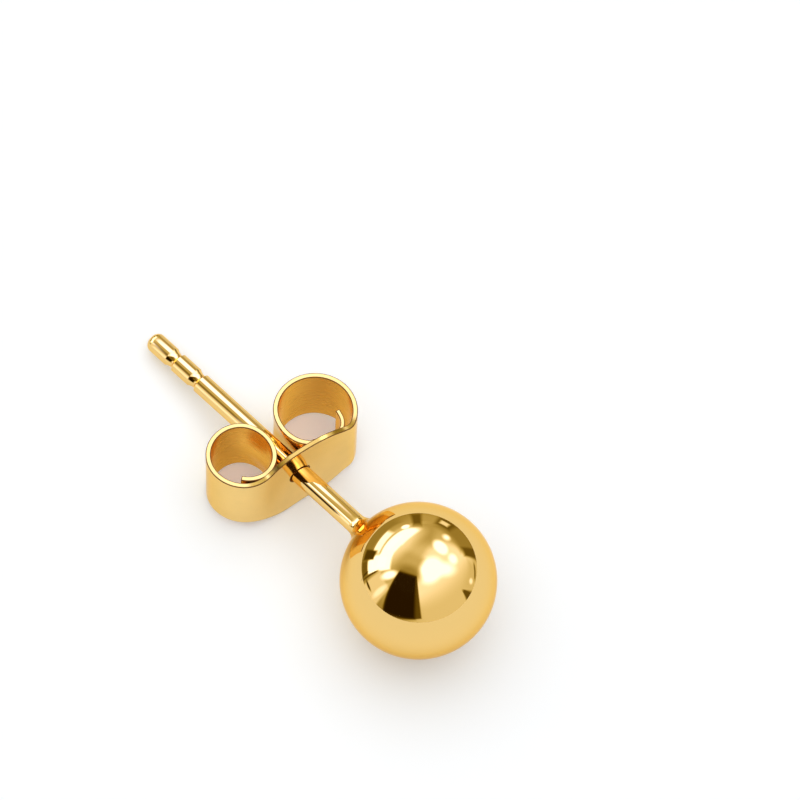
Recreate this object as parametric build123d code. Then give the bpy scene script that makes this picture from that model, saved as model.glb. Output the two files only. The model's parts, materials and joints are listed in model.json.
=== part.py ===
"""A ball stud earring with its butterfly clutch, lying on a table.

Two pieces: the ball with its soldered ear post, and the clutch that slides on the post.
Each is drawn in the post's own frame: the ball's centre at the origin, +X along the post
towards its tip and +Z along the axis of the clutch's scrolls. The pair is then tipped
onto the table, where it rests on the ball and on the lower rims of the clutch's scrolls.
Millimetres and degrees.
"""
from build123d import *
from math import asin, atan2, cos, degrees, hypot, radians, sin, sqrt
import os

# Ball, solder and ear post
BALL_R = 3.0
POST_R = 0.4
POST_TIP_X = 14.6
TIP_EDGE_R = 0.28
SOLDER_END_X = 3.45
SOLDER_R = 0.76

# Two notches near the tip: a sharp step on the ball's side, a rounded slope on the tip's side
NOTCH_X = (11.85, 13.1)
NOTCH_R = 0.31
NOTCH_STEP = 0.05
NOTCH_LENGTH = 0.52

# Clutch: one strip, bent to a plate with a hole in it and a scroll at each end
STRIP_WIDTH = 2.9
STRIP_T = 0.2
PLATE_X = 6.4
PLATE_YAW = -9
HOLE_R = 0.5

# The plate is widest round the hole, where its edges run straight. Two equal arcs on each side
# narrow it to the strip's width at these distances from the post. Below the post it reaches
# less far than above it, so that the scrolls carry the clutch on the table.
PLATE_ABOVE = 2.1
PLATE_BELOW = 1.9
PLATE_STRAIGHT = 1.0
LEFT_REACH = 2.45
RIGHT_REACH = 2.8

# The strip's centre line, walked from the hole towards each end.
# A row is (radius, turn) for an arc, where a left turn is positive, or (None, length).
LEFT_ARM = (
    (12.0, 4.8),  # the bowed plate
    (None, 0.52),
    (1.43, -90),  # round the far side
    (1.27, -228),  # past the post
    (1.0, -98),  # the end, lapped inside the plate
)
RIGHT_ARM = (
    (12.0, -2.4),
    (None, 1.67),
    (0.5, 37),  # the plate's corner
    (1.53, 18),  # the large scroll, as far as the plate's outline reaches
    (1.53, 225),  # the large scroll, round to the post
    (1.14, 47),
    (0.6, 33),  # back onto the plate
    (None, 0.8),
    (0.75, 84),  # the curled end
    (None, 0.25),
)
LEFT_PLATE_ROWS = 3  # how many rows of each arm the plate's outline covers
RIGHT_PLATE_ROWS = 4
LEFT_FLANK = 3  # the row of each arm that grips the post
RIGHT_FLANK = 4
TONGUE_FIRST_ROW = 7  # the right arm is narrower from this row on

# The narrow tongue at the right arm's end: (Y, half width) where it starts, at its neck and
# past its end. The cut is a little thicker than the strip, and stays clear of the plate.
TONGUE_START = (-0.95, STRIP_WIDTH / 2)
TONGUE_NECK = (-1.15, 0.97)
TONGUE_END = (-3.2, 0.86)
TONGUE_CUT_T = STRIP_T + 0.02

# The channel pressed into both flanks for the post, and the rib that it raises behind them
CHANNEL_R = POST_R + 0.03
CHANNEL_X = (6.6, 9.6)
RIB_DEPTH = 0.3

TOP = STRIP_WIDTH / 2
SETTLING_STEPS = 60


def point(distance, angle):
    """The point at that distance and angle from the origin, in the XY plane."""
    return Vector(distance * cos(radians(angle)), distance * sin(radians(angle)))


def walk(heading, rows):
    """Walks an arm from the hole. Returns, for each row, its stations as (point, left normal)."""
    here = Vector(PLATE_X, 0)
    stretches = []
    for radius, amount in rows:
        left = point(1, heading + 90)
        if radius is None:
            there = here + point(amount, heading)
            stretches.append([(here, left), (there, left)])
            here = there
            continue
        side = 1 if amount > 0 else -1
        centre = here + left * radius * side
        stations = []
        for share in (0, 0.5, 1):
            normal = point(1, heading + 90 + share * amount)
            stations.append((centre - normal * radius * side, normal))
        stretches.append(stations)
        here = stations[-1][0]
        heading += amount
    return stretches


def side_line(stretches, offset):
    """The edges that run beside the centre line, at that offset to its left."""
    edges = []
    for stations in stretches:
        points = [place + normal * offset for place, normal in stations]
        edges.append(Line(*points) if len(points) == 2 else ThreePointArc(*points))
    return edges


def cap(station, low, high):
    """The straight edge across the strip at a station."""
    place, normal = station
    return Line(place + normal * low, place + normal * high)


def band(stretches, low, high, half_height=TOP):
    """The wall between two offsets from the centre line."""
    edges = side_line(stretches, low) + side_line(stretches, high)
    edges += [cap(stretches[0][0], low, high), cap(stretches[-1][-1], low, high)]
    return extrude(make_face(edges), half_height, both=True)


def tongue_waste(stretches):
    """What is cut off the top and bottom of the right arm's end to narrow it."""
    strip = band(stretches, -TONGUE_CUT_T / 2, TONGUE_CUT_T / 2, 2 * TOP)
    outline = Polyline(
        (0, *TONGUE_START),
        (0, *TONGUE_NECK),
        (0, *TONGUE_END),
        (0, TONGUE_END[0], 2 * TOP),
        (0, TONGUE_START[0], 2 * TOP),
        close=True,
    )
    above = Pos(PLATE_X, 0, 0) * extrude(make_face(outline), BALL_R, dir=(1, 0, 0), both=True)
    return strip & (above + mirror(above, Plane.XY))


def plate_block(crest):
    """The upper half of the block that the plate is cut from, which reaches that high."""
    flat = PLATE_STRAIGHT / 2
    edges = [Line((0, flat, crest), (0, -flat, crest))]
    for side, reach in ((1, LEFT_REACH), (-1, RIGHT_REACH)):
        start, edge = (0, side * flat, crest), (0, side * reach, TOP)
        between = (0, side * (flat + reach) / 2, (crest + TOP) / 2)
        end = (0, side * 2 * BALL_R, TOP)
        edges += [
            TangentArc(start, between, tangent=(0, side, 0)),
            TangentArc(edge, between, tangent=(0, -side, 0)),
            Line(edge, end),
            Line(end, (0, side * 2 * BALL_R, 0)),
        ]
    edges.append(Line((0, 2 * BALL_R, 0), (0, -2 * BALL_R, 0)))
    return Pos(PLATE_X, 0, 0) * extrude(make_face(edges), BALL_R, dir=(1, 0, 0), both=True)


def along_post(radius, start, end):
    """A round bar on the post's axis, from start to end."""
    return Pos(start, 0, 0) * Rot(0, 90, 0) * Cylinder(
        radius, end - start, align=(Align.CENTER, Align.CENTER, Align.MIN)
    )


def scroll_clutch():
    """The clutch: the bent strip, its hole, the pressed channel and the ribs behind it."""
    left = walk(PLATE_YAW + 90, LEFT_ARM)
    right = walk(PLATE_YAW - 90, RIGHT_ARM)
    half = STRIP_T / 2
    plate = band(left[:LEFT_PLATE_ROWS], -half, half, PLATE_ABOVE)
    plate += band(right[:RIGHT_PLATE_ROWS], -half, half, PLATE_ABOVE)
    clutch = plate & (plate_block(PLATE_ABOVE) + mirror(plate_block(PLATE_BELOW), Plane.XY))
    clutch += band(left[LEFT_PLATE_ROWS:], -half, half)
    clutch += band(right[RIGHT_PLATE_ROWS:], -half, half)
    clutch -= tongue_waste(right[TONGUE_FIRST_ROW:])
    bar = along_post(CHANNEL_R + STRIP_T, *CHANNEL_X)
    clutch += bar & band(left[LEFT_FLANK : LEFT_FLANK + 1], -half - RIB_DEPTH, half)
    clutch += bar & band(right[RIGHT_FLANK : RIGHT_FLANK + 2], -half, half + RIB_DEPTH)
    clutch -= along_post(CHANNEL_R, *CHANNEL_X)
    return clutch - along_post(HOLE_R, PLATE_X - STRIP_T, PLATE_X + STRIP_T)


def post_outline():
    """The edges of the post's half outline, from the solder to the tip."""
    here = (SOLDER_END_X, POST_R)
    ball_joint = (sqrt(BALL_R**2 - SOLDER_R**2), SOLDER_R)
    edges = [TangentArc(here, ball_joint, tangent=(-1, 0))]
    for x in NOTCH_X:
        step, bottom = (x, POST_R), (x + NOTCH_STEP, NOTCH_R)
        edges += [Line(here, step), Line(step, bottom)]
        here = (x + NOTCH_LENGTH, POST_R)
        edges += [TangentArc(here, bottom, tangent=(-1, 0))]
    shoulder = (POST_TIP_X - TIP_EDGE_R, POST_R)
    rim = (POST_TIP_X, POST_R - TIP_EDGE_R)
    edges += [Line(here, shoulder), TangentArc(shoulder, rim, tangent=(1, 0))]
    return edges + [Line(rim, (POST_TIP_X, 0))]


def ball_and_post():
    """The ball, the solder round its joint and the notched post, turned as one solid."""
    solder_angle = degrees(asin(SOLDER_R / BALL_R))
    ball_edge = CenterArc((0, 0), BALL_R, solder_angle, 180 - solder_angle)
    axis = Line((-BALL_R, 0), (POST_TIP_X, 0))
    face = make_face([ball_edge, *post_outline(), axis])
    return revolve(face, Axis.X, 360)


def scroll_rim(stretches, row):
    """The centre and the outer radius of the scroll that a row of an arm bends round."""
    start, middle, end = [place for place, normal in stretches[row]]
    arc = ThreePointArc(start, middle, end)
    return arc.arc_center, arc.radius + STRIP_T / 2


def resting_direction():
    """The unit vector to the table, square to it, that touches the ball and both scrolls."""
    left_centre, left_r = scroll_rim(walk(PLATE_YAW + 90, LEFT_ARM), LEFT_FLANK)
    right_centre, right_r = scroll_rim(walk(PLATE_YAW - 90, RIGHT_ARM), RIGHT_FLANK)
    x, y = 0.0, 0.0
    for _ in range(SETTLING_STEPS):
        down = sqrt(1 - x**2 - y**2)
        reach = hypot(x, y)
        y = (left_r - right_r) * reach + (left_centre.X - right_centre.X) * x
        y /= right_centre.Y - left_centre.Y
        x = BALL_R - TOP * down - left_centre.Y * y - left_r * reach
        x /= left_centre.X
    return Vector(x, y, -sqrt(1 - x**2 - y**2))


def laid_down(shape, down):
    """The shape, rolled and then tipped so that the table's direction points straight down."""
    roll = degrees(atan2(-down.Y, -down.Z))
    pitch = degrees(atan2(down.X, hypot(down.Y, down.Z)))
    return Rot(0, pitch, 0) * Rot(roll, 0, 0) * shape


def export_parts(folder="parts"):
    """Writes both pieces at rest, with the origin under the middle of the pair."""
    down = resting_direction()
    pieces = {"ball_and_post": ball_and_post(), "scroll_clutch": scroll_clutch()}
    laid = {name: laid_down(shape, down) for name, shape in pieces.items()}
    box = Compound(children=[piece.solid() for piece in laid.values()]).bounding_box()
    middle = box.center()
    to_origin = Pos(-middle.X, -middle.Y, -box.min.Z)
    os.makedirs(folder, exist_ok=True)
    for name, shape in laid.items():
        export_step(to_origin * shape, os.path.join(folder, f"{name}.step"))


export_parts()
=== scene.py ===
"""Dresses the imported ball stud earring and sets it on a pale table.

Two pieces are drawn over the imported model: the polished ball with its solder and notched post,
and the butterfly clutch bent from one strip. Both are worked out in the post's own frame: the
ball's centre at the origin, +X along the post towards its tip and +Z along the axis of the
clutch's scrolls. laid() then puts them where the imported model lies. Metres and degrees, apart
from the tables of the clutch's arms, which are in millimetres.
"""
import json
from math import atan2, cos, radians, sin, sqrt

import bpy
import numpy as np
from bpy.props import FloatProperty, FloatVectorProperty, PointerProperty
from mathutils import Matrix, Vector


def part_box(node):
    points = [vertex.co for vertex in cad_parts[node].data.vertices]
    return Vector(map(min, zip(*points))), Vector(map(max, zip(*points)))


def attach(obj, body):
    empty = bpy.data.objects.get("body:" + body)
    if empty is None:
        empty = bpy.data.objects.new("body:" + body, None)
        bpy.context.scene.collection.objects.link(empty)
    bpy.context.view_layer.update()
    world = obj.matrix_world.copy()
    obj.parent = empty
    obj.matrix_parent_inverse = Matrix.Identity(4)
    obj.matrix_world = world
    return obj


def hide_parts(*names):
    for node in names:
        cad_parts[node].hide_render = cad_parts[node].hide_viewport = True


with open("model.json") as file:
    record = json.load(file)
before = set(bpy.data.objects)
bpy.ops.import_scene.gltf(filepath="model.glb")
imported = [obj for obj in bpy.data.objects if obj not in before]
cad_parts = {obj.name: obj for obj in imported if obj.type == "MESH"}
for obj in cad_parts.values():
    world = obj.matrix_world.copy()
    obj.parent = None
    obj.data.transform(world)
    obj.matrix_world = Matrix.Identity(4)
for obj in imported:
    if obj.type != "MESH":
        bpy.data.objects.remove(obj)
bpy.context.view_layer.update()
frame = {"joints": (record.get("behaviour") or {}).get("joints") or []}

bl_info = {
    "name": "Ball stud earring",
    "version": (1, 0, 0),
    "blender": (4, 5, 0),
    "location": "3D View > Sidebar > Ball stud",
    "description": "Draws a ball stud earring and its butterfly clutch over their packed model",
    "category": "Object",
}

MM = 0.001

# Where the piece lies: the slide runs along the post, and the clutch leans a little about it
POST_AXIS = Vector(frame["joints"][0]["axis"])
CLUTCH_ROLL = radians(0.976)
LAY = np.array(
    Matrix.Rotation(atan2(-POST_AXIS.z, POST_AXIS.x), 3, "Y") @ Matrix.Rotation(CLUTCH_ROLL, 3, "X")
)
STUD_LOW, STUD_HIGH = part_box("ball_and_post")

# The clutch's strip, walked from its hole towards each end, in millimetres and degrees.
# A row is (radius, turn) for an arc, where a left turn is positive, or (None, length).
PLATE_YAW = -9
LEFT_ARM = (
    (12.0, 4.8),
    (None, 0.52),
    (1.43, -90),
    (1.27, -228),
    (1.0, -98),
)
RIGHT_ARM = (
    (12.0, -2.4),
    (None, 1.67),
    (0.5, 37),
    (1.53, 18),
    (1.53, 225),
    (1.14, 47),
    (0.6, 33),
    (None, 0.8),
    (0.75, 84),
    (None, 0.25),
)
LEFT_PLATE_ROWS = 3  # how many rows of each arm the plate's outline covers
RIGHT_PLATE_ROWS = 4
TONGUE_FIRST_ROW = 7  # the right arm is narrower from this row on
TONGUE_REACH = (0.95, 1.15, 3.2)  # distances across the plate, and the half widths there
TONGUE_HALF_WIDTH = (1.45, 0.97, 0.86)

# How finely the stud is cut: points along the stretches of its outline, and sides round it
BALL_POINTS = 120
SOLDER_POINTS = 16
STRETCH_POINTS = 12  # up to each notch
NOTCH_POINTS = (4, 12)  # down a notch's step and up its slope
TIP_POINTS = (6, 12, 4)  # up to the tip's edge, round it and across the tip
STUD_SIDES = 192
SHARP_ANGLE = radians(20)  # a turned edge steeper than this is sharp

# How finely the strip is cut, in steps
ARM_STEPS = (170, 200)  # along the left and the right arm
SIDE_STEPS = 5  # from the collar to the strip's edge
COLLAR_STEPS = (24, 5)  # along a side of the collar, and from there to the hole
EDGE_STEPS = 3  # round a rounded edge
EDGE_ANGLE = radians(60)  # an edge of the strip steeper than this is rounded
NEARLY = 1e-9  # in metres, so that a row of an arm counts as reached where it starts

# The gold's clouds of colour: the deepest as a share of the base, and features in a metre
TARNISH = (0.97, 300)
ROLLED_CLOUDS = (0.84, 800)
# The edge lines are painted shade, and their colour wanders as the other golds' does
CUT_CLOUDS = (0.9, 1500)
PAINTED_EDGE_SHADE_CLOUDS = (0.6, 1200)
# Its finer patterns, as features in a metre, and its streaks
SMUDGES = 900
DENTS = 900
SHEAR_MARKS = 4000
STREAKS = (0.25, 9.0, 1.0)  # along the strip and across it, for each mm
STREAK_SHARE = 0.15  # how deep the streaks are beside the dents
NOISE_ROUGHNESS = 0.55
# The least and most roughness, as shares of the mean, on the faces and on the cut edges
FACE_SPREAD = (0.6, 1.4)
CUT_SPREAD = (0.7, 1.3)
# The edge lines are painted shade: a dull, rough dark brown along the rounded edges
PAINTED_EDGE_SHADE_ROUGHNESS = 0.5  # the edge lines' own, and their specular level
PAINTED_EDGE_SHADE_GLOSS = 0.1

# The slots of the strip's golds: its outer faces, cut edges, edge lines of painted shade, and inner
# faces whose deeper orange is painted shade
PRESSED_SLOT, CUT_SLOT, PAINTED_EDGE_SHADE_SLOT, PAINTED_SHADE_INSIDE_SLOT = range(4)

# The studio, as flat panels that face the stud, in the post's frame and in degrees. Azimuth 0 is
# the post's direction and zenith 0 its +Z; a panel is turned in its own plane and sized by half
# the angles that it fills. It is wider at its lower edge by the share taper, and narrower at its
# upper edge. Softness is the share of its size over which its edge fades. A later row lies over
# the earlier ones.
# (name, azimuth, zenith, turn, half width, half height, taper, outline, softness, brightness)
STUDIO = (
    ("white board", 196, 48, 0, 53, 48, 0, "square", 0.25, 1.3),
    ("white board, low", 178, 82, 0, 56, 32, 0, "square", 0.7, 0.85),
    ("far corner", 226, 86, 0, 18, 14, 0, "square", 0.5, 0.75),
    ("glow", 192, 19, 0, 15, 11.5, 0, "round", 0.98, 3.4),
    ("glow, far end", 216, 36, 25, 8, 14, 0, "round", 0.9, 2.3),
    ("ceiling", 60, 24, 49, 22, 24, 0, "square", 0.3, 0.62),
    ("ceiling by the doorway", 88, 22, 22, 18, 11, 0, "round", 0.6, 0.32),
    ("right wall", 308, 60, 0, 14, 30, 0, "square", 0.5, 0.5),
    ("rear wall, low", 275, 82, 0, 20, 18, 0, "square", 0.4, 0.3),
    ("tall box, halo", 356, 44, 0, 30, 15, 0, "round", 0.8, 1.3),
    ("tall box", 358, 50, 0, 25, 9, -0.3, "round", 0.65, 4.4),
    ("tall box, side", 34, 60, -4, 9.5, 16, 0, "square", 0.4, 4.4),
    ("gap", 350, 60, 3, 30, 2.6, 0, "square", 0.9, 0.8),
    ("low box", 4, 67, 0, 14.5, 5.5, 0, "square", 0.25, 1.9),
    ("low box, end", 331, 63, 0, 4, 3.5, 0, "round", 0.5, 2.6),
    ("right wall, low", 355, 84, 0, 22, 10, 0, "square", 0.3, 0.3),
    ("round lamp", 268, 39, 0, 7.5, 6, 0, "round", 0.98, 3.8),
    ("small lamp", 241, 49, 0, 5.2, 5.2, 0, "round", 0.98, 2.6),
    ("smallest lamp", 277, 58, 0, 3.6, 4, 0, "round", 0.98, 2.2),
    ("pane frame", 290, 80, 0, 8, 9, 0, "square", 0.4, 0.12),
    ("lit pane", 291, 79.5, 0, 4, 4, 0, "square", 0.45, 1.15),
    ("side screen", 64, 75, 0, 14, 18, 0, "square", 0.15, 1.0),
    ("side strip", 61, 47, -14, 5, 11, 0, "round", 0.6, 2.4),
    ("side strip, low", 71, 72, -6, 3.5, 14, 0, "round", 0.5, 1.5),
    ("screen edge", 45.5, 76, 0, 1.3, 15, 0, "square", 0.4, 0.1),
    ("doorway, far side", 106.5, 55, 13, 23.2, 33.5, 0.33, "square", 0.06, 0.09),
    ("doorway", 103.4, 55, 11, 20, 33.5, 0.28, "square", 0.16, 0.011),
    ("dark stand", 206, 84, 8, 4, 9, 0.7, "square", 0.4, 0.1),
    ("far corner, lamp", 221, 82, 0, 3, 3, 0, "round", 0.6, 1.5),
    ("far corner, foot", 234, 86, 12, 8, 1.6, 0, "square", 0.5, 0.2),
    ("dark column", 253, 80, 0, 5.5, 11, 0, "square", 0.4, 0.12),
    ("dark post", 317, 76, 0, 4.5, 14, 0, "square", 0.5, 0.13),
    ("dark box", 21, 77, -10, 6, 10, 0, "square", 0.3, 0.06),
    ("dark box, low", 35, 84, 0, 9, 5, 0, "square", 0.3, 0.14),
    ("screen foot", 55, 84, 0, 7, 1.8, 0, "round", 0.5, 0.05),
)
# Cards close to the stud, in millimetres and degrees in the post's frame, turned as a panel is.
# Softness is the share of its half size over which a card fades, and reach is how far off gloss
# still sees it.
# (name, place, azimuth, zenith, turn, half width, half height, softness, brightness, reach)
CARDS = (
    ("strip_light", (13.3, -3.8, 10.7), 315, 26.6, 45, 4.6, 6.0, 0.3, 2.2, 13.5),
    ("inner_flag", (7.65, 6.68, 2.25), 70.6, 73.3, 5.8, 1.6, 1.8, 0.35, 0.03, 7.55),
    ("outer_flag", (13.3, 2.95, 3.7), 61.5, 41.9, 22, 3.4, 1.2, 0.5, 0.2, 7.0),
)
DOME_TOP = 0.78  # the dome's own brightness overhead and near the table
DOME_LOW = 0.37
DOME_CREST = 0.87  # the height from which it is as bright as overhead, as a sine
SOFTBOX_EDGE = 0.06  # half the width over which the softbox fades, as a cosine
LEAST_DEPTH = 0.001  # keeps a panel from showing behind the stud
# The studio's colour at a brightness b: red is b^RED_POWER, green is b, and blue is
# b^BLUE_POWER, but no more than b or MOST_BLUE, whichever is larger
RED_POWER = 0.85
BLUE_POWER = 1.9
MOST_BLUE = 4.2
CAMERA_RANGE = (0.001, 10.0)  # the nearest and farthest that the camera sees, in metres


def length(name, description, default):
    """A size in metres that the sidebar shows with its unit."""
    return FloatProperty(
        name=name, description=description, default=default, subtype="DISTANCE", unit="LENGTH",
        min=0.0, precision=6,
    )


def coordinate(name, description, default):
    """A coordinate in metres that the sidebar shows with its unit."""
    return FloatProperty(
        name=name, description=description, default=default, subtype="DISTANCE", unit="LENGTH",
        precision=6,
    )


def angle(name, description, default):
    """An angle that the sidebar shows in degrees."""
    return FloatProperty(
        name=name, description=description, default=radians(default), subtype="ANGLE", unit="ROTATION"
    )


def share(name, description, default):
    """A number from 0 to 1."""
    return FloatProperty(
        name=name, description=description, default=default, min=0.0, max=1.0, subtype="FACTOR"
    )


def colour(name, description, default):
    """A linear colour."""
    return FloatVectorProperty(
        name=name, description=description, default=default, size=3, min=0.0, max=1.0,
        subtype="COLOR",
    )


class StudSizes(bpy.types.PropertyGroup):
    """Sizes of the ball, its solder and the post."""

    ball_radius: length("Ball radius", "Radius of the ball", (STUD_HIGH.y - STUD_LOW.y) / 2)
    post_radius: length("Post radius", "Radius of the ear post", 0.4 * MM)
    post_tip: length("Post tip", "From the ball's centre to the tip of the post", 14.6 * MM)
    tip_rounding: length("Tip rounding", "Radius of the tip's rounded edge", 0.28 * MM)
    solder_end: length("Solder end", "From the ball's centre to where the solder ends", 3.45 * MM)
    solder_radius: length("Solder radius", "Radius of the solder where it meets the ball", 0.76 * MM)
    inner_notch: length("Inner notch", "From the ball's centre to the inner notch", 11.85 * MM)
    outer_notch: length("Outer notch", "From the ball's centre to the outer notch", 13.1 * MM)
    notch_radius: length("Notch radius", "Radius of the post at a notch's bottom", 0.31 * MM)
    notch_step: length("Notch step", "Length of a notch's sharp step", 0.08 * MM)
    notch_length: length("Notch length", "Length of a notch along the post", 0.4 * MM)


class ClutchSizes(bpy.types.PropertyGroup):
    """Sizes of the clutch's strip."""

    plate_x: length("Plate distance", "From the ball's centre to the clutch's plate", 6.4 * MM)
    half_width: length("Half width", "Half the width of the strip", 1.45 * MM)
    above: length("Plate above the post", "How high the plate reaches above the post", 2.1 * MM)
    below: length("Plate below the post", "How far the plate reaches below the post", 1.9 * MM)
    straight: length("Straight edge", "Half the length of the plate's straight edge", 0.5 * MM)
    left_reach: length("Left reach", "From the post to where the plate is narrow", 2.45 * MM)
    right_reach: length("Right reach", "From the post to where the plate is narrow", 2.8 * MM)
    cupping: length("Cupping", "How far the plate's middle stands back from its mean", 0.1 * MM)
    cupping_depth: length("Cupping depth", "How far behind the plate its end is cupped", 0.5 * MM)
    thickness: length("Thickness", "Thickness of the strip", 0.2 * MM)
    hole_radius: length("Hole radius", "Radius of the hole for the post", 0.45 * MM)
    collar: length("Collar", "Half the side of the square that the hole's mesh fills", 0.9 * MM)
    channel_radius: length("Channel radius", "Radius of the channel for the post", 0.41 * MM)
    channel_start: length("Channel start", "From the ball's centre to the channel", 6.6 * MM)
    press_softness: length("Press softness", "How gently the pressed channel starts", 0.2 * MM)
    press_width: length("Press width", "Width of the pressed channel", 1.15 * MM)
    tongue_share: share("Tongue thickness", "Thickness of the narrow tongue as a share", 0.85)
    edge_rounding: length("Edge rounding", "Width of the strip's rounded edges", 0.035 * MM)


class GoldFinish(bpy.types.PropertyGroup):
    """Colours and roughness of the gold."""

    polished: colour("Polished gold", "Colour of the ball and post", (0.913, 0.61, 0.212))
    grazing: colour("Grazing gold", "Colour of polished gold seen at a slant", (1.0, 0.8, 0.46))
    satin: colour("Pressed gold", "Colour of the clutch", (1.0, 0.71, 0.29))
    # The inner faces' colour is a deeper orange than the outer faces': painted shade for the darker
    # light inside the scrolls
    inside: colour("Inside gold", "Colour of the scrolls' inner faces", (0.98, 0.52, 0.1))
    cut: colour("Cut edge", "Colour of the strip's cut edges", (0.78, 0.51, 0.12))
    # The edge lines' colour is painted shade: a dark brown that stands in for the shade at the strip's
    # rounded edges
    painted_edge_shade_colour: colour("Edge lines", "Colour of the fine lines beside the cut edges", (0.27, 0.115, 0.025))
    polish: share("Ball roughness", "Roughness of the ball and post", 0.03)
    brushing: share("Clutch roughness", "Roughness of the clutch", 0.12)
    inside_brushing: share("Inside roughness", "Roughness of the scrolls' inner faces", 0.26)
    cut_roughness: share("Cut edge roughness", "Roughness of the strip's cut edges", 0.17)
    waviness: length("Waviness", "Depth of the clutch's shallow dents", 0.008 * MM)


class StageSettings(bpy.types.PropertyGroup):
    """The camera's place, the table and the softbox."""

    aim_x: coordinate("Aim X", "Where the camera aims", -0.425 * MM)
    aim_y: coordinate("Aim Y", "Where the camera aims", -3.537 * MM)
    aim_z: coordinate("Aim Z", "Where the camera aims", 5.301 * MM)
    distance: length("Distance", "From the camera to where it aims", 190 * MM)
    azimuth: angle("Azimuth", "Direction of the camera from the aim, from +X", 115.623)
    elevation: angle("Elevation", "Height of the camera above the table", 67.917)
    roll: angle("Roll", "Turn of the camera about its own axis", 21.321)
    lens: FloatProperty(name="Focal length", description="On a 36 mm sensor", default=225.7)
    floor_size: length("Floor size", "Half the side of the table", 2.0)
    floor_shade: colour("Floor colour", "Colour of the table", (0.86, 0.88, 0.9))
    floor_glow: share("Floor glow", "How much light comes through the table", 0.17)
    reflected: share("Reflected floor", "How bright gloss sees the table", 0.94)
    softbox: FloatProperty(name="Softbox", description="Brightness of the softbox", default=1.62)
    dome: share("Dome", "Brightness of the studio around the softbox", 0.2)
    softbox_angle: angle("Softbox angle", "From the softbox's middle to its edge", 48)


class EarringSettings(bpy.types.PropertyGroup):
    """All of the earring's settings."""

    stud: PointerProperty(type=StudSizes)
    clutch: PointerProperty(type=ClutchSizes)
    gold: PointerProperty(type=GoldFinish)
    stage: PointerProperty(type=StageSettings)


def laid(points):
    """Moves points from the post's frame to where the model lies.

    place = ball centre + LAY x point, with the centre one ball radius in from the box's corner.
    """
    radius = bpy.context.scene.earring.stud.ball_radius
    centre = (STUD_LOW.x + radius, (STUD_LOW.y + STUD_HIGH.y) / 2, STUD_LOW.z + radius)
    return np.asarray(points) @ LAY.T + np.array(centre)


def new_mesh(name, points, faces, uv):
    """A smooth mesh object from arrays of points, faces and a UV place for each point."""
    mesh = bpy.data.meshes.new(name)
    mesh.from_pydata(laid(points), [], faces)
    corners = np.zeros(len(mesh.loops), np.int32)
    mesh.loops.foreach_get("vertex_index", corners)
    layer = mesh.uv_layers.new(name="surface")
    layer.uv.foreach_set("vector", uv[corners].astype(np.float32).ravel())
    mesh.shade_smooth()
    mesh.validate()
    piece = bpy.data.objects.new(name, mesh)
    bpy.context.scene.collection.objects.link(piece)
    return piece


def arc(centre, radius, start, end, count):
    """Points of an arc: centre + radius (cos a, sin a), for angles from start to end."""
    a = np.radians(np.linspace(start, end, count))
    return np.stack([centre[0] + radius * np.cos(a), centre[1] + radius * np.sin(a)], 1)


def tangent_arc(start, end, count):
    """The arc that leaves start along the post's axis and reaches end.

    Its centre lies straight above or below start, as far away as end is from it:
    rise of the centre = (dx^2 + dr^2) / (2 dr).
    """
    dx, dr = end[0] - start[0], end[1] - start[1]
    rise = (dx * dx + dr * dr) / (2 * dr)
    centre = (start[0], start[1] + rise)
    first = np.degrees(atan2(-rise, 0))
    last = np.degrees(atan2(end[1] - centre[1], end[0] - centre[0]))
    last += 360 * round((first - last) / 360)
    return arc(centre, abs(rise), first, last, count)


def stud_profile(sizes):
    """The half outline of the ball, solder and post, as distances (along the post, from it).

    The ball's arc from its pole, the solder's hollow arc, and for each notch a straight step
    down and a hollow arc up, then a quarter round at the tip.
    """
    ball, post = sizes.ball_radius, sizes.post_radius
    joint = (sqrt(ball**2 - sizes.solder_radius**2), sizes.solder_radius)
    solder_angle = np.degrees(atan2(joint[1], joint[0]))
    runs = [arc((0, 0), ball, 180, solder_angle, BALL_POINTS)]
    here = (sizes.solder_end, post)
    runs.append(tangent_arc(here, joint, SOLDER_POINTS)[::-1])
    for x in (sizes.inner_notch, sizes.outer_notch):
        bottom = (x + sizes.notch_step, sizes.notch_radius)
        runs.append(np.linspace(here, (x, post), STRETCH_POINTS)[1:])
        runs.append(np.linspace((x, post), bottom, NOTCH_POINTS[0])[1:])
        here = (x + sizes.notch_length, post)
        runs.append(tangent_arc(bottom, here, NOTCH_POINTS[1])[1:])
    rounding = sizes.tip_rounding
    corner = (sizes.post_tip - rounding, post - rounding)
    end = (sizes.post_tip, 0)
    runs.append(np.linspace(here, (corner[0], post), TIP_POINTS[0])[1:])
    runs.append(arc(corner, rounding, 90, 0, TIP_POINTS[1])[1:])
    runs.append(np.linspace((sizes.post_tip, corner[1]), end, TIP_POINTS[2])[1:])
    return np.concatenate(runs)


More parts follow.
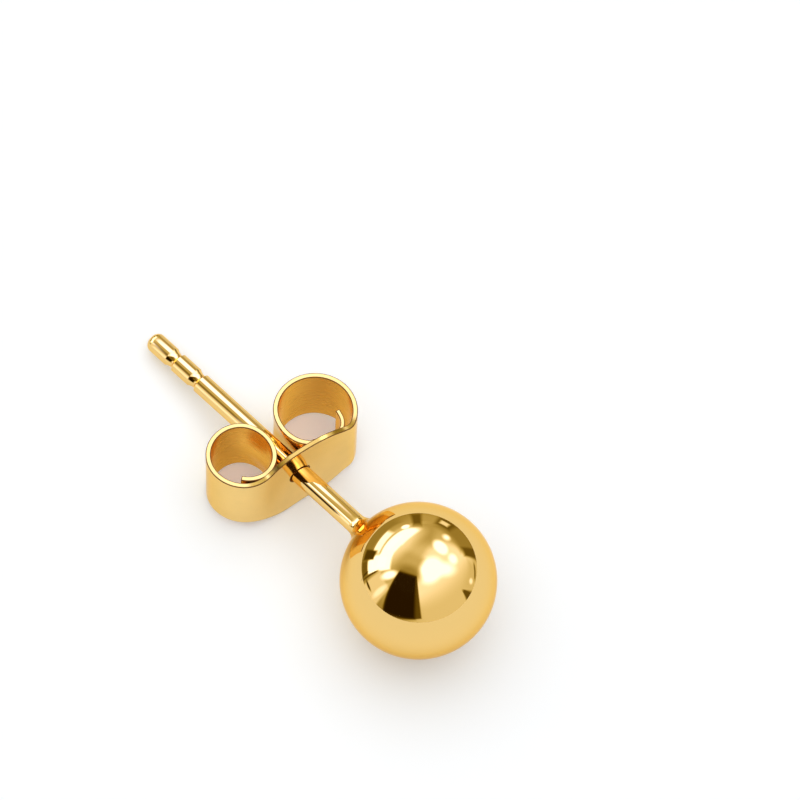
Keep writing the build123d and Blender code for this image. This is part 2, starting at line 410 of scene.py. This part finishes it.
def revolved(name, profile, sides):
    """A closed surface of revolution about the post's axis.

    point(i, a) = (x_i, r_i cos a, r_i sin a); the first and last rows are single poles.
    """
    a = np.linspace(0, 2 * np.pi, sides, endpoint=False)
    x, r = profile[1:-1, 0], profile[1:-1, 1]
    rings = np.stack(
        [np.repeat(x, sides), np.outer(r, np.cos(a)).ravel(), np.outer(r, np.sin(a)).ravel()], 1
    )
    poles = [(profile[0, 0], 0, 0), (profile[-1, 0], 0, 0)]
    points = np.concatenate([rings, poles])
    count = len(x)
    row = np.arange(count - 1)[:, None] * sides
    here = np.arange(sides)[None, :]
    there = (here + 1) % sides
    quads = np.stack([row + here, row + sides + here, row + sides + there, row + there], -1)
    first = np.stack([np.full(sides, count * sides), here[0], there[0]], -1)
    last_row = (count - 1) * sides
    last = np.stack([np.full(sides, count * sides + 1), last_row + there[0], last_row + here[0]], -1)
    faces = quads.reshape(-1, 4).tolist() + first.tolist() + last.tolist()
    turn = np.tile(a, count) / (2 * np.pi)
    uv = np.stack([np.concatenate([turn, [0, 0]]), points[:, 0] / MM], 1)
    piece = new_mesh(name, points, faces, uv)
    piece.data.set_sharp_from_angle(angle=SHARP_ANGLE)
    return piece


def walk_arm(distance, heading, rows, start):
    """Places on an arm at these distances from the hole, as complex numbers.

    Along an arc of bend b, place = start + d exp(i (heading + b d / 2)) sinc(b d / 2).
    """
    here, travelled = complex(start, 0), 0.0
    places = np.zeros(len(distance), complex)
    heading = radians(heading)
    for radius, amount in rows:
        run = amount if radius is None else radius * abs(radians(amount))
        turn = 0.0 if radius is None else radians(amount)
        run *= MM
        beyond = distance >= travelled - NEARLY
        passed = np.append(distance[beyond] - travelled, run)
        turned = turn * passed / run
        chord = passed * np.exp(1j * (heading + turned / 2)) * np.sinc(turned / 2 / np.pi)
        reached = here + chord
        places[beyond] = reached[:-1]
        here, heading, travelled = reached[-1], heading + turn, travelled + run
    return places


def arm_length(rows):
    """How long the strip is from its hole to the end of this arm."""
    runs = [amount if radius is None else radius * abs(radians(amount)) for radius, amount in rows]
    return sum(runs) * MM


def plate_edge(sizes, y, crest):
    """How far one edge of the plate is from the post, at a distance y across the plate.

    Straight at its crest, then an S of two equal arcs down to the strip's own half width:
    with the run and fall of one arc a and b, its radius is (a^2 + b^2) / 2 b, and at t along it
    the edge has fallen by radius - sqrt(radius^2 - t^2).
    """
    reach = np.where(y > 0, sizes.left_reach, sizes.right_reach) - sizes.straight
    t = np.clip(np.abs(y) - sizes.straight, 0, reach)
    fall = (crest - sizes.half_width) / 2
    radius = ((reach / 2) ** 2 + fall**2) / (2 * fall)
    near = crest - radius + np.sqrt(radius**2 - np.minimum(t, reach / 2) ** 2)
    far = sizes.half_width + radius - np.sqrt(radius**2 - np.minimum(reach - t, reach / 2) ** 2)
    return np.where(t < reach / 2, near, far)


def strip_route(sizes, s):
    """Where the strip's middle runs: x and y for each s along it, negative on the left arm."""
    left = s < 0
    route = np.zeros(len(s), complex)
    route[left] = walk_arm(-s[left], PLATE_YAW + 90, LEFT_ARM, sizes.plate_x)
    route[~left] = walk_arm(s[~left], PLATE_YAW - 90, RIGHT_ARM, sizes.plate_x)
    return route.real.copy(), route.imag.copy()


def plate_height(sizes, z, outline):
    """Stretches z to the plate's outline, but not inside the collar's square.

    Past the collar, |z| becomes collar + (|z| - collar) (outline - collar) / (half width -
    collar).
    """
    stretch = (outline - sizes.collar) / (sizes.half_width - sizes.collar)
    raised = np.sign(z) * (sizes.collar + (np.abs(z) - sizes.collar) * stretch)
    return np.where(np.abs(z) > sizes.collar, raised, z)


def tongue_height(sizes, y, z):
    """Narrows z by the tongue's half width over the strip's, a share that depends on y."""
    half = np.interp(-y, np.array(TONGUE_REACH) * MM, np.array(TONGUE_HALF_WIDTH) * MM)
    return z * half / sizes.half_width


def plate_cup(sizes, x, y, z, outline, plate):
    """How far the strip stands back because its plate is cupped.

    cupping (1 - 2 (z / outline)^2), times the share of the plate's widening at y, times
    exp(-(b / depth)^2) at a distance b behind the plate, so that the arms' ends follow.
    """
    order = np.argsort(y[plate])
    behind = x - np.interp(y, y[plate][order], x[plate][order])
    widening = plate_edge(sizes, y, sizes.above) - sizes.half_width
    widening /= sizes.above - sizes.half_width
    cup = sizes.cupping * widening * (1 - 2 * (z / outline) ** 2)
    return cup * np.exp(-((behind / sizes.cupping_depth) ** 2))


def flank_press(sizes, y, z):
    """How far the strip is pressed outwards beside the post.

    What |y| lacks of the channel's radius, softened as log(1 + exp), times a bell across the
    strip, exp(-(z / width)^2).
    """
    middle = sizes.channel_radius + sizes.thickness / 2
    lack = np.logaddexp(0, (middle - np.abs(y)) / sizes.press_softness) * sizes.press_softness
    return lack * np.exp(-((z / sizes.press_width) ** 2))


def strip_point(sizes, s, z):
    """The strip's middle surface, as a function of s along it and z across it.

    The route's place at s and the height z, stretched on the plate and narrowed on the tongue.
    The plate's cupping is added to x, and the press beside the post moves y outwards.
    """
    x, y = strip_route(sizes, s)
    outline = plate_edge(sizes, y, np.where(z > 0, sizes.above, sizes.below))
    ends = arm_length(LEFT_ARM[:LEFT_PLATE_ROWS]), arm_length(RIGHT_ARM[:RIGHT_PLATE_ROWS])
    plate = (s > -ends[0]) & (s < ends[1])
    tongue = s > arm_length(RIGHT_ARM[:TONGUE_FIRST_ROW])
    z = np.where(plate, plate_height(sizes, z, outline), z)
    z = np.where(tongue, tongue_height(sizes, y, z), z)
    cup = plate_cup(sizes, x, y, z, outline, plate)
    flank = (x > sizes.channel_start) & ~tongue & (np.abs(s) > 2 * sizes.collar)
    y = np.where(flank, y + np.sign(y) * flank_press(sizes, y, z), y)
    return np.stack([x + cup, y, z], 1)


def collar_rings(grid, outline, radius, rings, first):
    """The collar between a square outline of the grid and the hole's circle: points and faces.

    Ring k is the outline moved towards the circle by k / rings. The new points are numbered
    from first on.
    """
    corners = grid[outline]
    circle = corners * (radius / np.hypot(*corners.T))[:, None]
    shares = np.arange(1, rings + 1)[:, None, None] / rings
    inner = (corners + (circle - corners) * shares).reshape(-1, 2)
    numbers = first + np.arange(len(inner)).reshape(rings, -1)
    ring = np.concatenate([outline[None], numbers])
    following = np.roll(ring, -1, axis=1)
    faces = np.stack([ring[:-1], following[:-1], following[1:], ring[1:]], -1)
    return inner, faces.reshape(-1, 4)


def strip_grid(sizes):
    """The strip's flat layout: (s, z) places and faces, with a round hole in the middle.

    A grid of columns along the arms and rows across them is left open over a square, which a
    collar fills.
    """
    square = sizes.collar
    across, rings = COLLAR_STEPS
    ends = arm_length(LEFT_ARM), arm_length(RIGHT_ARM)
    middle = np.linspace(-square, square, across + 1)
    s = np.concatenate([
        np.linspace(-ends[0], -square, ARM_STEPS[0] + 1)[:-1],
        middle,
        np.linspace(square, ends[1], ARM_STEPS[1] + 1)[1:],
    ])
    edge = np.linspace(square, sizes.half_width, SIDE_STEPS + 1)[1:]
    z = np.concatenate([-edge[::-1], middle, edge])
    grid = np.stack([np.repeat(s, len(z)), np.tile(z, len(s))], 1)
    index = np.arange(len(grid)).reshape(len(s), len(z))
    cells = np.stack([index[:-1, :-1], index[1:, :-1], index[1:, 1:], index[:-1, 1:]], -1)
    first_s, first_z = ARM_STEPS[0], SIDE_STEPS
    kept = np.ones(cells.shape[:2], bool)
    kept[first_s: first_s + across, first_z: first_z + across] = False
    block = index[first_s: first_s + across + 1, first_z: first_z + across + 1]
    outline = np.concatenate([block[:-1, 0], block[-1, :-1], block[:0:-1, -1], block[0, :0:-1]])
    inner, collar = collar_rings(grid, outline, sizes.hole_radius, rings, len(grid))
    return np.concatenate([grid, inner]), np.concatenate([cells[kept], collar]).tolist()


def new_material(name):
    """A new node material: the material, its tree and its shader."""
    material = bpy.data.materials.new(name)
    material.use_nodes = True
    shader = material.node_tree.nodes["Principled BSDF"]
    return material, material.node_tree, shader


def value_node(tree, operation, *inputs):
    """A Math node; its inputs are sockets or numbers."""
    node = tree.nodes.new("ShaderNodeMath")
    node.operation = operation
    for socket, value in zip(node.inputs, inputs):
        if isinstance(value, bpy.types.NodeSocket):
            tree.links.new(value, socket)
        else:
            socket.default_value = value
    return node.outputs["Value"]


def noise(tree, vector, scale, detail=3.0):
    """A noise texture with that many features for each unit of its vector."""
    node = tree.nodes.new("ShaderNodeTexNoise")
    node.inputs["Scale"].default_value = scale
    node.inputs["Detail"].default_value = detail
    node.inputs["Roughness"].default_value = NOISE_ROUGHNESS
    tree.links.new(vector, node.inputs["Vector"])
    return node.outputs["Fac"]


def spread(tree, value, mean, shares):
    """Maps a value from 0..1 to the mean times the lower and the higher share."""
    node = tree.nodes.new("ShaderNodeMapRange")
    node.inputs["To Min"].default_value = mean * shares[0]
    node.inputs["To Max"].default_value = mean * shares[1]
    tree.links.new(value, node.inputs["Value"])
    return node.outputs["Result"]


def mixed(tree, factor, first, second):
    """A colour between two colours."""
    node = tree.nodes.new("ShaderNodeMix")
    node.data_type = "RGBA"
    tree.links.new(factor, node.inputs["Factor"])
    node.inputs["A"].default_value = (*first, 1)
    node.inputs["B"].default_value = (*second, 1)
    return node.outputs["Result"]


def clouded(tree, shader, base, deepest, scale):
    """Gold whose colour wanders between a base and a deeper share of it. Returns its place."""
    place = tree.nodes.new("ShaderNodeTexCoord").outputs["Object"]
    deep = [channel * deepest for channel in base]
    cloud = noise(tree, place, scale)
    tree.links.new(mixed(tree, cloud, base, deep), shader.inputs["Base Color"])
    shader.inputs["Metallic"].default_value = 1.0
    return place


def polished_gold(gold):
    """Mirror polished gold with faint tarnish."""
    material, tree, shader = new_material("polished_gold")
    place = clouded(tree, shader, gold.polished, *TARNISH)
    shader.inputs["Specular Tint"].default_value = (*gold.grazing, 1)
    rough = spread(tree, noise(tree, place, SMUDGES), gold.polish, FACE_SPREAD)
    tree.links.new(rough, shader.inputs["Roughness"])
    return material


def pressed_gold(gold, name, base, brushing):
    """One of the strip's faces: rolled gold with fine streaks along it and shallow dents."""
    material, tree, shader = new_material(name)
    place = clouded(tree, shader, base, *ROLLED_CLOUDS)
    shader.inputs["Specular Tint"].default_value = (*gold.grazing, 1)
    flat = tree.nodes.new("ShaderNodeUVMap").outputs["UV"]
    streaked = tree.nodes.new("ShaderNodeMapping")
    streaked.inputs["Scale"].default_value = STREAKS
    tree.links.new(flat, streaked.inputs["Vector"])
    streaks = noise(tree, streaked.outputs["Vector"], 1.0, detail=2.0)
    rough = spread(tree, streaks, brushing, FACE_SPREAD)
    tree.links.new(rough, shader.inputs["Roughness"])
    dents = noise(tree, place, DENTS, detail=1.0)
    height = value_node(tree, "MULTIPLY_ADD", streaks, STREAK_SHARE, dents)
    bump = tree.nodes.new("ShaderNodeBump")
    bump.inputs["Distance"].default_value = gold.waviness
    tree.links.new(height, bump.inputs["Height"])
    tree.links.new(bump.outputs["Normal"], shader.inputs["Normal"])
    return material


def cut_gold(gold):
    """The strip's cut edges: paler and rougher, with fine shear marks."""
    material, tree, shader = new_material("cut_gold")
    place = clouded(tree, shader, gold.cut, *CUT_CLOUDS)
    rough = spread(tree, noise(tree, place, SHEAR_MARKS), gold.cut_roughness, CUT_SPREAD)
    tree.links.new(rough, shader.inputs["Roughness"])
    return material


def painted_edge_shade(gold):
    """Painted shade: the fine dark lines where the strip's faces turn into its cut edges, a dull dark
    brown in place of the shade that falls there.
    """
    material, tree, shader = new_material("painted_edge_shade")
    clouded(tree, shader, gold.painted_edge_shade_colour, *PAINTED_EDGE_SHADE_CLOUDS)
    shader.inputs["Metallic"].default_value = 0.0
    shader.inputs["Specular IOR Level"].default_value = PAINTED_EDGE_SHADE_GLOSS
    shader.inputs["Roughness"].default_value = PAINTED_EDGE_SHADE_ROUGHNESS
    return material


def thicken(piece, layout, sizes):
    """Gives the strip its thickness, less on the tongue, and rounds its edges."""
    body = np.flatnonzero(layout[:, 0] < arm_length(RIGHT_ARM[:TONGUE_FIRST_ROW]))
    piece.vertex_groups.new(name="full thickness").add(body.tolist(), 1.0, "REPLACE")
    wall = piece.modifiers.new("wall", "SOLIDIFY")
    wall.thickness = sizes.thickness
    wall.offset = 0
    wall.use_even_offset = True
    wall.vertex_group = "full thickness"
    wall.thickness_vertex_group = sizes.tongue_share
    # The inner faces take the inside gold, whose deeper orange is painted shade
    wall.material_offset = PAINTED_SHADE_INSIDE_SLOT
    wall.material_offset_rim = CUT_SLOT
    edges = piece.modifiers.new("edges", "BEVEL")
    edges.width = sizes.edge_rounding
    edges.segments = EDGE_STEPS
    edges.use_clamp_overlap = False
    edges.limit_method = "ANGLE"
    edges.angle_limit = EDGE_ANGLE
    edges.harden_normals = True
    # The rounded edges take the edge lines' gold, which is painted shade
    edges.material = PAINTED_EDGE_SHADE_SLOT


class EARRING_OT_ball_and_post(bpy.types.Operator):
    """Draws the ball, its solder and the notched post as one turned piece"""

    bl_idname = "earring.ball_and_post"
    bl_label = "Ball and post"

    def execute(self, context):
        settings = context.scene.earring
        piece = revolved("ball_with_post", stud_profile(settings.stud), STUD_SIDES)
        piece.data.materials.append(polished_gold(settings.gold))
        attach(piece, "stud")
        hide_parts("ball_and_post")
        return {"FINISHED"}


class EARRING_OT_scroll_clutch(bpy.types.Operator):
    """Draws the clutch, one strip bent to a plate with a scroll at each end"""

    bl_idname = "earring.scroll_clutch"
    bl_label = "Scroll clutch"

    def execute(self, context):
        settings = context.scene.earring
        sizes = settings.clutch
        layout, faces = strip_grid(sizes)
        points = strip_point(sizes, layout[:, 0], layout[:, 1])
        piece = new_mesh("butterfly_clutch", points, faces, layout / MM)
        thicken(piece, layout, sizes)
        gold = settings.gold
        outside = pressed_gold(gold, "pressed_gold", gold.satin, gold.brushing)
        # The inside gold's deeper orange is painted shade inside the scrolls
        inside = pressed_gold(gold, "painted_shade_inside_gold", gold.inside, gold.inside_brushing)
        golds = {
            PRESSED_SLOT: outside,
            CUT_SLOT: cut_gold(gold),
            # The edge lines' gold is painted shade along the rounded edges
            PAINTED_EDGE_SHADE_SLOT: painted_edge_shade(gold),
            # The inner faces' gold is a shaded copy of the strip's gold: painted shade
            PAINTED_SHADE_INSIDE_SLOT: inside,
        }
        for slot in sorted(golds):
            piece.data.materials.append(golds[slot])
        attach(piece, "clutch")
        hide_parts("scroll_clutch")
        return {"FINISHED"}


def add_sheet(name, middle, turn, half, shade, glow):
    """A flat pale sheet that glows a little, as the studio's light comes through it."""
    flat = np.array([(-half, -half, 0), (half, -half, 0), (half, half, 0), (-half, half, 0)])
    mesh = bpy.data.meshes.new(name)
    mesh.from_pydata(flat @ turn.T + middle, [], [(0, 1, 2, 3)])
    sheet = bpy.data.objects.new(name, mesh)
    bpy.context.scene.collection.objects.link(sheet)
    material, _, shader = new_material(name)
    shader.inputs["Base Color"].default_value = (*shade, 1)
    shader.inputs["Roughness"].default_value = 1.0
    shader.inputs["Specular IOR Level"].default_value = 0.0
    shader.inputs["Emission Color"].default_value = (1, 1, 1, 1)
    shader.inputs["Emission Strength"].default_value = glow
    mesh.materials.append(material)
    sheet.visible_diffuse = False
    sheet.visible_shadow = False
    return sheet


def add_floor(settings):
    """The table that the model stands on, and a sheet under the ball that gloss sees instead.

    The sheet is square to the axis of the scrolls, as the studio's panels are.
    """
    shade = np.array(settings.floor_shade)
    table = add_sheet(
        "table", np.zeros(3), np.eye(3), settings.floor_size, shade, settings.floor_glow
    )
    table.visible_glossy = False
    radius = bpy.context.scene.earring.stud.ball_radius
    seen = settings.reflected
    bounce = add_sheet(
        "bounce_sheet", laid([(0, 0, -radius)])[0], LAY, settings.floor_size, shade * seen,
        settings.floor_glow * seen,
    )
    bounce.visible_camera = False


def add_camera(settings):
    """The camera, turned about its own axis as the stud is seen."""
    aim = Vector((settings.aim_x, settings.aim_y, settings.aim_z))
    level = cos(settings.elevation)
    back = Vector((
        level * cos(settings.azimuth), level * sin(settings.azimuth), sin(settings.elevation)
    ))
    camera = bpy.data.cameras.new("camera")
    camera.lens = settings.lens
    camera.clip_start, camera.clip_end = CAMERA_RANGE
    holder = bpy.data.objects.new("camera", camera)
    turn = back.to_track_quat("Z", "Y").to_matrix() @ Matrix.Rotation(settings.roll, 3, "Z")
    holder.matrix_world = Matrix.Translation(aim + back * settings.distance) @ turn.to_4x4()
    bpy.context.scene.collection.objects.link(holder)
    bpy.context.scene.camera = holder


def along(tree, direction, axis):
    """How far a direction reaches along an axis."""
    node = tree.nodes.new("ShaderNodeVectorMath")
    node.operation = "DOT_PRODUCT"
    tree.links.new(direction, node.inputs[0])
    node.inputs[1].default_value = axis
    return node.outputs["Value"]


def fade(tree, value, start, end, low=1.0, high=0.0):
    """Low up to start, high from end on, and smooth between."""
    node = tree.nodes.new("ShaderNodeMapRange")
    node.interpolation_type = "SMOOTHSTEP"
    node.inputs["From Min"].default_value = start
    node.inputs["From Max"].default_value = end
    node.inputs["To Min"].default_value = low
    node.inputs["To Max"].default_value = high
    tree.links.new(value, node.inputs["Value"])
    return node.outputs["Result"]


def panel_axes(azimuth, zenith, turn):
    """A panel's own right, up and forward directions in the model's frame.

    Forward points from the stud to the panel's middle; right and up are turned about it.
    """
    azimuth, zenith, turn = radians(azimuth), radians(zenith), radians(turn)
    forward = Vector((sin(zenith) * cos(azimuth), sin(zenith) * sin(azimuth), cos(zenith)))
    level = Vector((-sin(azimuth), cos(azimuth), 0))
    rise = Vector((-cos(zenith) * cos(azimuth), -cos(zenith) * sin(azimuth), sin(zenith)))
    right = level * cos(turn) + rise * sin(turn)
    up = rise * cos(turn) - level * sin(turn)
    return [LAY @ np.array(axis) for axis in (right, up, forward)]


def lit_by(tree, direction, brightness, row):
    """Lays one panel of the studio over the brightness so far.

    A direction meets the panel's plane at (right, up) / forward. Its distance from the middle is
    the larger share of the half width and half height, or their hypotenuse on a round panel.
    """
    name, azimuth, zenith, turn, half_width, half_height, taper, outline, softness, level = row
    right, up, forward = panel_axes(azimuth, zenith, turn)
    depth = value_node(tree, "MAXIMUM", along(tree, direction, forward), LEAST_DEPTH)
    across = along(tree, direction, right / np.tan(radians(half_width)))
    high = along(tree, direction, up / np.tan(radians(half_height)))
    across = value_node(tree, "DIVIDE", across, depth)
    high = value_node(tree, "DIVIDE", high, depth)
    if taper:
        across = value_node(tree, "DIVIDE", across, value_node(tree, "MULTIPLY_ADD", high, -taper, 1))
    if outline == "round":
        squares = value_node(tree, "MULTIPLY_ADD", high, high, value_node(tree, "POWER", across, 2))
        distance = value_node(tree, "SQRT", squares)
    else:
        distance = value_node(
            tree, "MAXIMUM", value_node(tree, "ABSOLUTE", across), value_node(tree, "ABSOLUTE", high)
        )
    mix = tree.nodes.new("ShaderNodeMix")
    mix.label = name
    tree.links.new(fade(tree, distance, 1 - softness, 1 + softness), mix.inputs["Factor"])
    tree.links.new(brightness, mix.inputs["A"])
    mix.inputs["B"].default_value = level
    return mix.outputs["Result"]


def tinted(tree, brightness):
    """The studio's colour: warmer where it is dim and cooler where it is bright.

    Green is the brightness, and red and blue are powers of it. Blue stops at MOST_BLUE, or at
    green where that is brighter.
    """
    node = tree.nodes.new("ShaderNodeCombineColor")
    tree.links.new(value_node(tree, "POWER", brightness, RED_POWER), node.inputs["Red"])
    tree.links.new(brightness, node.inputs["Green"])
    most = value_node(tree, "MAXIMUM", brightness, MOST_BLUE)
    blue = value_node(tree, "MINIMUM", value_node(tree, "POWER", brightness, BLUE_POWER), most)
    tree.links.new(blue, node.inputs["Blue"])
    return node.outputs["Color"]


def add_studio(settings):
    """A round white softbox that lights the table, and the panels that gloss reflects.

    The softbox faces the scrolls' axis, and the camera sees plain white past the table.
    """
    world = bpy.data.worlds.new("studio")
    world.use_nodes = True
    bpy.context.scene.world = world
    tree = world.node_tree
    direction = tree.nodes.new("ShaderNodeTexCoord").outputs["Generated"]
    height = along(tree, direction, LAY[:, 2])
    brightness = fade(tree, height, 0, DOME_CREST, DOME_LOW, DOME_TOP)
    for row in STUDIO:
        brightness = lit_by(tree, direction, brightness, row)
    panels = tree.nodes.new("ShaderNodeBackground")
    tree.links.new(tinted(tree, brightness), panels.inputs["Color"])
    softbox = tree.nodes["Background"]
    softbox.inputs["Color"].default_value = (1, 1, 1, 1)
    path = tree.nodes.new("ShaderNodeLightPath")
    rim = cos(settings.softbox_angle)
    inner, outer = rim + SOFTBOX_EDGE, rim - SOFTBOX_EDGE
    light = fade(tree, height, outer, inner, settings.dome, settings.softbox)
    light = value_node(tree, "MAXIMUM", light, path.outputs["Is Camera Ray"])
    tree.links.new(light, softbox.inputs["Strength"])
    both = tree.nodes.new("ShaderNodeMixShader")
    tree.links.new(path.outputs["Is Glossy Ray"], both.inputs["Fac"])
    tree.links.new(softbox.outputs["Background"], both.inputs[1])
    tree.links.new(panels.outputs["Background"], both.inputs[2])
    tree.links.new(both.outputs["Shader"], tree.nodes["World Output"].inputs["Surface"])


def card_glow(name, softness, level, reach):
    """An even glow that fades towards the card's edges and ends at its reach."""
    material = bpy.data.materials.new(name)
    material.use_nodes = True
    tree = material.node_tree
    tree.nodes.clear()
    split = tree.nodes.new("ShaderNodeSeparateXYZ")
    tree.links.new(tree.nodes.new("ShaderNodeUVMap").outputs["UV"], split.inputs["Vector"])
    across = fade(tree, value_node(tree, "ABSOLUTE", split.outputs["X"]), 1 - softness, 1)
    high = fade(tree, value_node(tree, "ABSOLUTE", split.outputs["Y"]), 1 - softness, 1)
    distance = tree.nodes.new("ShaderNodeLightPath").outputs["Ray Length"]
    near = value_node(tree, "LESS_THAN", distance, reach * MM)
    inside = value_node(tree, "MULTIPLY", value_node(tree, "MULTIPLY", across, high), near)
    glow = tree.nodes.new("ShaderNodeEmission")
    blue = min(level**BLUE_POWER, max(level, MOST_BLUE))
    glow.inputs["Color"].default_value = (level**RED_POWER, level, blue, 1)
    mix = tree.nodes.new("ShaderNodeMixShader")
    tree.links.new(inside, mix.inputs["Fac"])
    tree.links.new(tree.nodes.new("ShaderNodeBsdfTransparent").outputs["BSDF"], mix.inputs[1])
    tree.links.new(glow.outputs["Emission"], mix.inputs[2])
    output = tree.nodes.new("ShaderNodeOutputMaterial")
    tree.links.new(mix.outputs["Shader"], output.inputs["Surface"])
    return material


def add_card(name, place, azimuth, zenith, turn, half_width, half_height, softness, level, reach):
    """A card close to the stud that only gloss within its reach sees.

    It is a flat rectangle in the post's frame that faces along the given direction.
    """
    right, up = [Vector(axis) for axis in panel_axes(azimuth, zenith, turn)[:2]]
    middle = Vector(laid([Vector(place) * MM])[0])
    signs = ((-1, -1), (1, -1), (1, 1), (-1, 1))
    corners = [
        middle + (right * across * half_width + up * rise * half_height) * MM
        for across, rise in signs
    ]
    mesh = bpy.data.meshes.new(name)
    mesh.from_pydata(corners, [], [(0, 1, 2, 3)])
    layer = mesh.uv_layers.new(name="surface")
    layer.uv.foreach_set("vector", np.array(signs, np.float32).ravel())
    mesh.materials.append(card_glow(name, softness, level, reach))
    card = bpy.data.objects.new(name, mesh)
    bpy.context.scene.collection.objects.link(card)
    card.visible_camera = False
    card.visible_diffuse = False
    card.visible_shadow = False


class EARRING_OT_stage(bpy.types.Operator):
    """Sets the pale table, the soft studio light and the camera"""

    bl_idname = "earring.stage"
    bl_label = "Stage"

    def execute(self, context):
        settings = context.scene.earring.stage
        add_floor(settings)
        add_studio(settings)
        for row in CARDS:
            add_card(*row)
        add_camera(settings)
        context.scene.view_settings.view_transform = "Standard"
        return {"FINISHED"}


class EARRING_PT_sidebar(bpy.types.Panel):
    """Lists the earring's pieces and their settings"""

    bl_idname = "EARRING_PT_sidebar"
    bl_label = "Ball stud earring"
    bl_space_type = "VIEW_3D"
    bl_region_type = "UI"
    bl_category = "Ball stud"

    def draw(self, context):
        settings = context.scene.earring
        for operator in OPERATORS:
            self.layout.operator(operator.bl_idname)
        for group in (settings.stud, settings.clutch, settings.gold, settings.stage):
            box = self.layout.box()
            for name in group.__annotations__:
                box.prop(group, name)


GROUPS = (StudSizes, ClutchSizes, GoldFinish, StageSettings, EarringSettings)
OPERATORS = (EARRING_OT_ball_and_post, EARRING_OT_scroll_clutch, EARRING_OT_stage)
CLASSES = (*GROUPS, *OPERATORS, EARRING_PT_sidebar)


def register():
    """Makes the earring's settings, operators and panel known to Blender."""
    for entry in CLASSES:
        bpy.utils.register_class(entry)
    bpy.types.Scene.earring = PointerProperty(type=EarringSettings)


def unregister():
    """Takes them out again, in the reverse order."""
    del bpy.types.Scene.earring
    for entry in reversed(CLASSES):
        bpy.utils.unregister_class(entry)


def main():
    """Draws the pieces and the stage."""
    register()
    bpy.ops.earring.ball_and_post()
    bpy.ops.earring.scroll_clutch()
    bpy.ops.earring.stage()


if __name__ == "__main__":
    main()
